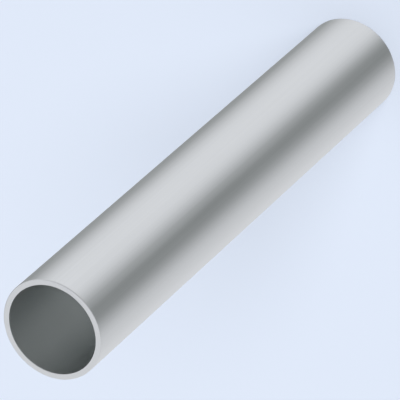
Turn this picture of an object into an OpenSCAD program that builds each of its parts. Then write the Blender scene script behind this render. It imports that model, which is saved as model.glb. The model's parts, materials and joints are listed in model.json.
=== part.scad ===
// Straight round aluminium tube, sawn square at both ends and lightly deburred.
// It stands on its lower end: the tube's axis is +Z, and the origin is the centre of that end.
// All sizes are in millimetres.

/* [Tube] */
// Outside diameter of the tube
outer_diameter = 35; // [10:0.5:120]
// Thickness of the wall
wall = 2; // [0.8:0.1:4]
// Length from one sawn end to the other
length = 215; // [40:1:1000]

/* [Deburred edges] */
// Width of the bevel around the outside of each end
outer_bevel = 0.3; // [0.05:0.05:0.4]
// Width of the bevel around the mouth of the bore at each end
bore_bevel = 0.2; // [0.05:0.05:0.3]

/* [Hidden] */
// Facets of a full turn in the preview
$fn = 180;

outer_radius = outer_diameter / 2;
bore_radius = outer_radius - wall;

// The wall cut along the axis: a plain rectangle with a bevel on each of its four corners.
module wall_section() {
    polygon([
        [bore_radius + bore_bevel, 0],
        [outer_radius - outer_bevel, 0],
        [outer_radius, outer_bevel],
        [outer_radius, length - outer_bevel],
        [outer_radius - outer_bevel, length],
        [bore_radius + bore_bevel, length],
        [bore_radius, length - bore_bevel],
        [bore_radius, bore_bevel]
    ]);
}

// The whole tube, one seamless piece: the wall's section turned once about the axis.
module tube() {
    color("#c9cdd0")
        rotate_extrude()
            wall_section();
}

tube();
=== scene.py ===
"""The looks of a straight round aluminium tube, which stands on its sawn lower end with its axis on +Z."""
import json
import math

import bmesh
import bpy
from mathutils import Euler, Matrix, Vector


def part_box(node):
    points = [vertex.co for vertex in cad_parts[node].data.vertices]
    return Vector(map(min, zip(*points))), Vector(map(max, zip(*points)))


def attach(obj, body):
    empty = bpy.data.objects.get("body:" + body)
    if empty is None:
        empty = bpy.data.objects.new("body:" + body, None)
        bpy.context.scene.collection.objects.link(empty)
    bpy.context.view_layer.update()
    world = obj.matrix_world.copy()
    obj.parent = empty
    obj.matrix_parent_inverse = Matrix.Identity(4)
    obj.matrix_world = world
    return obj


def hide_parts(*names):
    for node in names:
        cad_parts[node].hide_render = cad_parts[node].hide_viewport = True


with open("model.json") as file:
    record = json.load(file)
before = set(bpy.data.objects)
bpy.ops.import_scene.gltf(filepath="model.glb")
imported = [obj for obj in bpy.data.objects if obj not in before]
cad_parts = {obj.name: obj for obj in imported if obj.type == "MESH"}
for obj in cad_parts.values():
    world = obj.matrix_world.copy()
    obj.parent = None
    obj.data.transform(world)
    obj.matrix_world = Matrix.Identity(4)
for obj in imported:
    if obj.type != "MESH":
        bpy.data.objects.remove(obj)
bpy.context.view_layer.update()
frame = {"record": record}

MM = 0.001

# Sizes of the tube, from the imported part, in metres
mounts = {mount["name"]: mount for mount in frame["record"]["mounts"]}
tube_low, tube_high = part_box("tube")
LENGTH = tube_high.z - tube_low.z
OUTER_RADIUS = min(tube_high.x, tube_high.y, -tube_low.x, -tube_low.y)
BORE_RADIUS = mounts["bore"]["dims"]["r_mm"] * MM
OUTER_BEVEL = (LENGTH - mounts["outside"]["dims"]["length_mm"] * MM) / 2
BORE_BEVEL = (LENGTH - mounts["bore"]["dims"]["length_mm"] * MM) / 2

# Mesh of the tube
TURN_STEPS = 256
BEVEL_STEPS = 4
WALL_STRETCHES = 24
# Width of the narrow faces along the edges of a finish
EDGE_HOLD = 0.1 * MM
# Points that are closer than this are in the same place
SAME_PLACE = 0.001 * MM
# A face belongs to an end if its normal leans further than this along the axis
END_LEAN = 0.5

# Camera: the view of the photograph, down on the upper end, with the lower end at the top right
CAMERA_LENS = 402.87
CAMERA_SENSOR = 36.0
CAMERA_ELEVATION = math.radians(51.85)
CAMERA_ROLL = math.radians(-131.676)
CAMERA_DISTANCE = 1.48174
CAMERA_AIM = Vector((-0.00043, 0.0, 0.115073))

# Floor and backdrop: their reach, their colour, and the share of it that is a glow of their own
STAGE_RADIUS = 6.0
FLOOR_DROP = 0.05 * MM
BACKDROP_STEPS = 32
PALE_COLOUR = (0.745, 0.815, 0.939)
FLOOR_GLOW = 0.35
BACKDROP_GLOW = 1.0

# Lamp
LAMP_ELEVATION = math.radians(62)
LAMP_SPREAD = math.radians(25)
LAMP_STRENGTH = 1.4

# Light of the studio: levels of its dome and of the dimmer part below its panels, and faint tints of white
DOME_LEVEL = 0.79
FOOT_LEVEL = 0.4
STUDIO_TINT = (0.99, 0.995, 1.01)
GAP_TINT = (0.96, 1.01, 0.99)
# Panels around the tube: azimuths in degrees, with the level and the tint of the light at each.
# 0 is towards the camera and 90 is towards -X. Grey gaps part the bright panels.
FULL_TURN = 360
SIDE_PANELS = (
    (-180, 0.55, STUDIO_TINT),
    (-146, 0.28, GAP_TINT),
    (-74, 0.84, STUDIO_TINT),
    (-30, 0.84, STUDIO_TINT),
    (28, 0.247, GAP_TINT),
    (34, 0.247, GAP_TINT),
    (93, 0.715, STUDIO_TINT),
    (150, 0.825, STUDIO_TINT),
    (180, 0.55, STUDIO_TINT),
)
# Sines of the elevations at which the panels begin to fade and are gone, above and below
PANEL_TOP = (0.05, 0.45)
PANEL_FOOT = (-0.955, -0.995)
# A grey patch of the dome on the camera's side: the way to its middle, in axes turned half round about Z,
# its level, and the cosines of the angles from its middle at which it begins and is full
PATCH_WAY = Vector((-0.35, 0.75, 0.56)).normalized()
PATCH_LEVEL = 0.36
PATCH_REACH = (math.cos(math.radians(70)), math.cos(math.radians(30)))
# Light has to bounce down the bore many times before it comes out
BORE_BOUNCES = 16

# Sockets of a Mix node for numbers and for colours: the factor and the pair that it mixes, then the result
MIX_SOCKETS = {"FLOAT": ((0, 2, 3), 0), "RGBA": ((0, 6, 7), 2)}

# Textures of the finishes: the part of noise's range that most of it lies in, its usual detail, and the
# stretch along X, Y and Z of marks that aren't drawn out
NOISE_RANGE = (0.3, 0.7)
NOISE_DETAIL = 3.0
NOT_DRAWN = (1, 1, 1)

# Colour of clean aluminium, from the part's record, and of the metal in the bore, which is painted lighter
# than the outside so that the deep bore shows more light after its many bounces
ALUMINIUM = frame["record"]["materials"][0]["base_color"]
BORE_LIGHTENED_ALUMINIUM = (0.917, 0.931, 0.931)

# Outside: lines from the die, and clouds over them. Shades are shares of the metal's colour.
WALL_LINE_WIDTH = 0.8 * MM
WALL_LINE_STRETCH = (1, 1, 200)
WALL_LINE_DETAIL = 5.0
WALL_LINE_HEIGHT = 0.006 * MM
WALL_CLOUD_WIDTH = 12 * MM
WALL_CLOUD_STRETCH = (1, 1, 4)
WALL_CLOUD_SHARE = 0.3
WALL_SHADES = (0.97, 1.03)
WALL_ROUGHNESS = (0.28, 0.38)

# Ends: marks from the saw, and clouds
SAW_MARK_WIDTH = 0.25 * MM
SAW_MARK_STRETCH = (60, 1, 1)
SAW_MARK_DETAIL = 4.0
SAW_MARK_HEIGHT = 0.006 * MM
END_CLOUD_WIDTH = 5 * MM
END_CLOUD_SHARE = 0.5
END_SHADES = (0.95, 1.03)
END_ROUGHNESS = (0.34, 0.46)

# Rims: nicks from the deburring
NICK_WIDTH = 0.4 * MM
NICK_HEIGHT = 0.004 * MM
RIM_SHADES = (0.97, 1.0)
RIM_ROUGHNESS = (0.32, 0.40)

# Bore: lines from the die, and clouds
BORE_LINE_WIDTH = 0.5 * MM
BORE_LINE_STRETCH = (1, 1, 250)
BORE_LINE_HEIGHT = 0.006 * MM
BORE_CLOUD_WIDTH = 9 * MM
BORE_CLOUD_STRETCH = (1, 1, 3)
BORE_SHADES = (0.9945, 1.0055)
BORE_ROUGHNESS = (0.28, 0.32)


def at_level(colour, level):
    """A colour at this level of its brightness, in the form that a node takes."""
    return tuple(channel * level for channel in colour) + (1.0,)


def feed(tree, socket, source):
    """Links a socket to the output of another node, or sets it to a plain value."""
    if isinstance(source, bpy.types.NodeSocket):
        tree.links.new(source, socket)
    else:
        socket.default_value = source


def add_node(tree, kind, sources=(), **settings):
    """A new node of this kind, with what its sockets get and its other settings."""
    node = tree.nodes.new(kind)
    for name, setting in settings.items():
        setattr(node, name, setting)
    for socket, source in dict(sources).items():
        feed(tree, node.inputs[socket], source)
    return node


def mixed(tree, kind, factor, first, second):
    """Two numbers or colours in one: the first at a factor of 0, the second at a factor of 1."""
    sockets, result = MIX_SOCKETS[kind]
    mix = add_node(tree, "ShaderNodeMix", zip(sockets, (factor, first, second)), data_type=kind)
    return mix.outputs[result]


def grain(tree, place, width, stretch=NOT_DRAWN, detail=NOISE_DETAIL):
    """Noise with marks of this width on the piece, drawn out by the stretch along each axis."""
    scale = [1 / (width * along) for along in stretch]
    mapping = add_node(tree, "ShaderNodeMapping", {"Vector": place, "Scale": scale})
    spot = mapping.outputs["Vector"]
    noise = add_node(tree, "ShaderNodeTexNoise", {"Vector": spot, "Scale": 1.0, "Detail": detail})
    return noise.outputs["Fac"]


def graded(tree, source, limits):
    """A texture as a number that goes from the first limit to the second."""
    ends = zip(("From Min", "From Max", "To Min", "To Max"), NOISE_RANGE + limits)
    spread = add_node(tree, "ShaderNodeMapRange", {"Value": source, **dict(ends)})
    return spread.outputs["Result"]


def tinted(tree, source, colour, shades):
    """A texture as a colour that goes from the first shade of it to the second."""
    ramp = add_node(tree, "ShaderNodeValToRGB", {"Fac": source})
    for stop, position, shade in zip(ramp.color_ramp.elements, NOISE_RANGE, shades):
        stop.position = position
        stop.color = at_level(colour, shade)
    return ramp.outputs["Color"]


def relief(tree, source, height):
    """A texture as marks of this height in the surface."""
    bump = add_node(tree, "ShaderNodeBump", {"Height": source, "Strength": 1.0, "Distance": height})
    return bump.outputs["Normal"]


def new_material(name):
    """A new material and its shader."""
    material = bpy.data.materials.new(name)
    material.use_nodes = True
    return material, material.node_tree.nodes["Principled BSDF"]


def metal(name):
    """A bare metal material, and in its node tree the coordinates of the piece."""
    material, shader = new_material(name)
    shader.inputs["Metallic"].default_value = 1.0
    place = add_node(material.node_tree, "ShaderNodeTexCoord")
    return material, material.node_tree, place.outputs["Object"]


def dress(tree, colour, roughness, marks):
    """Gives the metal of a node tree its colour, its roughness and the marks in its surface."""
    shader = tree.nodes["Principled BSDF"]
    feed(tree, shader.inputs["Base Color"], colour)
    feed(tree, shader.inputs["Roughness"], roughness)
    feed(tree, shader.inputs["Normal"], marks)


def drawn_wall():
    """The outside: an even satin with faint lines that the die drew along it, and a slight clouding."""
    material, tree, place = metal("drawn_wall")
    die_lines = grain(tree, place, WALL_LINE_WIDTH, WALL_LINE_STRETCH, WALL_LINE_DETAIL)
    clouds = grain(tree, place, WALL_CLOUD_WIDTH, WALL_CLOUD_STRETCH)
    satin = mixed(tree, "FLOAT", WALL_CLOUD_SHARE, die_lines, clouds)
    dress(
        tree,
        colour=tinted(tree, satin, ALUMINIUM, WALL_SHADES),
        roughness=graded(tree, satin, WALL_ROUGHNESS),
        marks=relief(tree, die_lines, WALL_LINE_HEIGHT),
    )
    return material


def sawn_end():
    """The two ends: fine marks across the ring, left by the saw."""
    material, tree, place = metal("sawn_end")
    saw_marks = grain(tree, place, SAW_MARK_WIDTH, SAW_MARK_STRETCH, SAW_MARK_DETAIL)
    clouds = grain(tree, place, END_CLOUD_WIDTH)
    uneven = mixed(tree, "FLOAT", END_CLOUD_SHARE, saw_marks, clouds)
    dress(
        tree,
        colour=tinted(tree, saw_marks, ALUMINIUM, END_SHADES),
        roughness=graded(tree, uneven, END_ROUGHNESS),
        marks=relief(tree, saw_marks, SAW_MARK_HEIGHT),
    )
    return material


def deburred_edge():
    """The rounded rims of the ends: bright bare metal, a little uneven."""
    material, tree, place = metal("deburred_edge")
    nicks = grain(tree, place, NICK_WIDTH)
    dress(
        tree,
        colour=tinted(tree, nicks, ALUMINIUM, RIM_SHADES),
        roughness=graded(tree, nicks, RIM_ROUGHNESS),
        marks=relief(tree, nicks, NICK_HEIGHT),
    )
    return material


def lightened_bore():
    """The inside: metal painted lighter than the outside, so that the deep bore shows more light after its
    many bounces, with finer die lines.
    """
    material, tree, place = metal("lightened_bore")
    die_lines = grain(tree, place, BORE_LINE_WIDTH, BORE_LINE_STRETCH)
    clouds = grain(tree, place, BORE_CLOUD_WIDTH, BORE_CLOUD_STRETCH)
    dress(
        tree,
        colour=tinted(tree, clouds, BORE_LIGHTENED_ALUMINIUM, BORE_SHADES),
        roughness=graded(tree, clouds, BORE_ROUGHNESS),
        marks=relief(tree, die_lines, BORE_LINE_HEIGHT),
    )
    return material


FINISHES = (drawn_wall, sawn_end, deburred_edge, lightened_bore)
FINISH_ORDER = [finish.__name__ for finish in FINISHES]


def add_object(name, data):
    """An object of this name with this data, in the scene."""
    added = bpy.data.objects.new(name, data)
    bpy.context.scene.collection.objects.link(added)
    return added


def add_mesh(name, mesh, materials):
    """An object of this name from a finished mesh, with these materials."""
    data = bpy.data.meshes.new(name)
    mesh.to_mesh(data)
    mesh.free()
    for material in materials:
        data.materials.append(material)
    return add_object(name, data)


def wall_section(mesh):
    """The wall cut along the axis: its four corners and the edges between them."""
    corners = ((BORE_RADIUS, 0), (OUTER_RADIUS, 0), (OUTER_RADIUS, LENGTH), (BORE_RADIUS, LENGTH))
    points = [mesh.verts.new((radius, 0, height)) for radius, height in corners]
    edges = [mesh.edges.new((points[i - 1], points[i])) for i in range(len(points))]
    return points + edges


def rise(edge):
    """How far an edge goes along the tube."""
    return abs(edge.verts[0].co.z - edge.verts[1].co.z)


def on_rim(edge, radius):
    """Whether an edge runs around an end of the wall that has this radius."""
    off_axis = [math.hypot(point.co.x, point.co.y) for point in edge.verts]
    return rise(edge) < SAME_PLACE and all(abs(far - radius) < SAME_PLACE for far in off_axis)


def finish_of(face):
    """The finish of one of the faces turned from the wall's section."""
    if abs(face.normal.z) > END_LEAN:
        return "sawn_end"
    facing_out = face.normal.dot(face.calc_center_median()) > 0
    return "drawn_wall" if facing_out else "lightened_bore"


def deburr(mesh, radius, width):
    """Rounds the two rims of the wall that has this radius."""
    rims = [edge for edge in mesh.edges if on_rim(edge, radius)]
    rounded = bmesh.ops.bevel(
        mesh, geom=rims, offset=width, offset_type="OFFSET", segments=BEVEL_STEPS, profile=0.5,
        affect="EDGES", material=-1,
    )
    for face in rounded["faces"]:
        face.material_index = FINISH_ORDER.index("deburred_edge")


def hold_edges(mesh, finish):
    """Narrow faces along the edges of one finish, which keep its shading flat or round right up to them."""
    wanted = FINISH_ORDER.index(finish)
    faces = [face for face in mesh.faces if face.material_index == wanted]
    bmesh.ops.inset_region(mesh, faces=faces, thickness=EDGE_HOLD, use_boundary=True, use_even_offset=True)


def make_tube():
    """The tube: the wall's section turned about the axis, its rims rounded and its walls cut into rings."""
    mesh = bmesh.new()
    bmesh.ops.spin(
        mesh, geom=wall_section(mesh), cent=(0, 0, 0), axis=(0, 0, 1), angle=2 * math.pi,
        steps=TURN_STEPS, use_merge=True,
    )
    bmesh.ops.remove_doubles(mesh, verts=mesh.verts, dist=SAME_PLACE)
    bmesh.ops.recalc_face_normals(mesh, faces=mesh.faces)
    for face in mesh.faces:
        face.material_index = FINISH_ORDER.index(finish_of(face))
    deburr(mesh, OUTER_RADIUS, OUTER_BEVEL)
    deburr(mesh, BORE_RADIUS, BORE_BEVEL)
    for finish in ("drawn_wall", "sawn_end", "lightened_bore"):
        hold_edges(mesh, finish)
    lengthwise = [edge for edge in mesh.edges if rise(edge) > LENGTH / 2]
    bmesh.ops.subdivide_edges(mesh, edges=lengthwise, cuts=WALL_STRETCHES - 1, use_grid_fill=True)
    for face in mesh.faces:
        face.smooth = True
    return add_mesh("aluminium_tube", mesh, [finish() for finish in FINISHES])


def pale_surface(name, glow):
    """The plain pale colour of the floor and the backdrop, with this share of it as a glow of its own."""
    material, shader = new_material(name)
    shader.inputs["Base Color"].default_value = at_level(PALE_COLOUR, 1 - glow)
    shader.inputs["Roughness"].default_value = 1.0
    shader.inputs["Specular IOR Level"].default_value = 0.0
    shader.inputs["Emission Color"].default_value = at_level(PALE_COLOUR, 1)
    shader.inputs["Emission Strength"].default_value = glow
    return material


def stage_piece(name, mesh, material):
    """A piece of the stage from this mesh. The metal shows the studio's panels in its place."""
    piece = add_mesh(name, mesh, [material])
    piece.visible_glossy = False
    return piece


def make_floor():
    """The floor, lit a little from within like a light table, so that the tube's shadow on it is faint."""
    mesh = bmesh.new()
    bmesh.ops.create_grid(mesh, x_segments=1, y_segments=1, size=STAGE_RADIUS)
    bmesh.ops.translate(mesh, verts=mesh.verts, vec=(0, 0, -FLOOR_DROP))
    stage_piece("floor", mesh, pale_surface("pale_floor", FLOOR_GLOW))


def make_backdrop():
    """The backdrop far behind the tube, which only the camera sees, above the floor's edge in low views."""
    mesh = bmesh.new()
    bmesh.ops.create_uvsphere(
        mesh, u_segments=BACKDROP_STEPS, v_segments=BACKDROP_STEPS, radius=STAGE_RADIUS,
    )
    backdrop = stage_piece("backdrop", mesh, pale_surface("pale_backdrop", BACKDROP_GLOW))
    backdrop.visible_diffuse = False
    backdrop.visible_shadow = False


def faded(tree, source, start, full):
    """A smooth step of a number: 0 up to the start, 1 from where it is full."""
    ends = {"Value": source, "From Min": start, "From Max": full}
    fade = add_node(tree, "ShaderNodeMapRange", ends, interpolation_type="SMOOTHSTEP")
    return fade.outputs["Result"]


def panel_light(tree, across, ahead):
    """The light of the side panels, by the azimuth of a direction with these two parts."""
    azimuth = add_node(tree, "ShaderNodeMath", {0: across, 1: ahead}, operation="ARCTAN2")
    ends = {"Value": azimuth.outputs["Value"], "From Min": -math.pi, "From Max": math.pi}
    turn = add_node(tree, "ShaderNodeMapRange", ends)
    panels = add_node(tree, "ShaderNodeValToRGB", {"Fac": turn.outputs["Result"]})
    panels.color_ramp.interpolation = "EASE"
    stops = panels.color_ramp.elements
    stops.remove(stops[1])
    for index, (degrees, level, tint) in enumerate(SIDE_PANELS):
        position = (degrees + FULL_TURN / 2) / FULL_TURN
        stop = stops.new(position) if index else stops[0]
        stop.position = position
        stop.color = at_level(tint, level)
    return panels.outputs["Color"]


def dome_light(tree, way):
    """The light of the dome in a direction, with the grey patch."""
    nearness = add_node(tree, "ShaderNodeVectorMath", {0: way, 1: PATCH_WAY}, operation="DOT_PRODUCT")
    patch = faded(tree, nearness.outputs["Value"], *PATCH_REACH)
    return mixed(tree, "RGBA", patch, at_level(STUDIO_TINT, DOME_LEVEL), at_level(STUDIO_TINT, PATCH_LEVEL))


def make_studio():
    """Soft light from all round: an even dome above, and panels of grey and white around the tube."""
    world = bpy.data.worlds.new("studio")
    world.use_nodes = True
    tree = world.node_tree
    direction = add_node(tree, "ShaderNodeTexCoord").outputs["Generated"]
    half_turn = {"Vector": direction, "Rotation": (0, 0, math.pi)}
    way = add_node(tree, "ShaderNodeMapping", half_turn).outputs["Vector"]
    parts = add_node(tree, "ShaderNodeSeparateXYZ", {"Vector": way}).outputs
    panels = panel_light(tree, parts["X"], parts["Y"])
    above = faded(tree, parts["Z"], *PANEL_TOP)
    below = faded(tree, parts["Z"], *PANEL_FOOT)
    upper = mixed(tree, "RGBA", above, panels, dome_light(tree, way))
    light = mixed(tree, "RGBA", below, upper, at_level(STUDIO_TINT, FOOT_LEVEL))
    feed(tree, tree.nodes["Background"].inputs["Color"], light)
    bpy.context.scene.world = world


def facing_down(elevation):
    """The turn of a lamp or camera that looks down at the tube from the -Y side, at this elevation."""
    return Euler((math.pi / 2 - elevation, 0, 0))


def make_lamp():
    """A soft lamp high on the camera's side, which throws the tube's faint shadow behind it."""
    data = bpy.data.lights.new("soft_lamp", "SUN")
    data.energy = LAMP_STRENGTH
    data.angle = LAMP_SPREAD
    lamp = add_object("soft_lamp", data)
    lamp.rotation_euler = facing_down(LAMP_ELEVATION)
    lamp.visible_glossy = False


def make_camera():
    """The camera, at the photograph's viewing angle."""
    data = bpy.data.cameras.new("camera")
    data.lens = CAMERA_LENS
    data.sensor_width = CAMERA_SENSOR
    camera = add_object("camera", data)
    tilt = facing_down(CAMERA_ELEVATION).to_matrix()
    turned = tilt @ Euler((0, 0, CAMERA_ROLL)).to_matrix()
    camera.rotation_euler = turned.to_euler()
    camera.location = CAMERA_AIM + tilt @ Vector((0, 0, CAMERA_DISTANCE))
    bpy.context.scene.camera = camera


bpy.context.scene.view_settings.view_transform = "Standard"
bpy.context.scene.cycles.glossy_bounces = BORE_BOUNCES
bpy.context.scene.cycles.max_bounces = BORE_BOUNCES
make_camera()
make_lamp()
make_studio()
make_floor()
make_backdrop()

tube = make_tube()
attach(tube, "root")
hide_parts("tube")
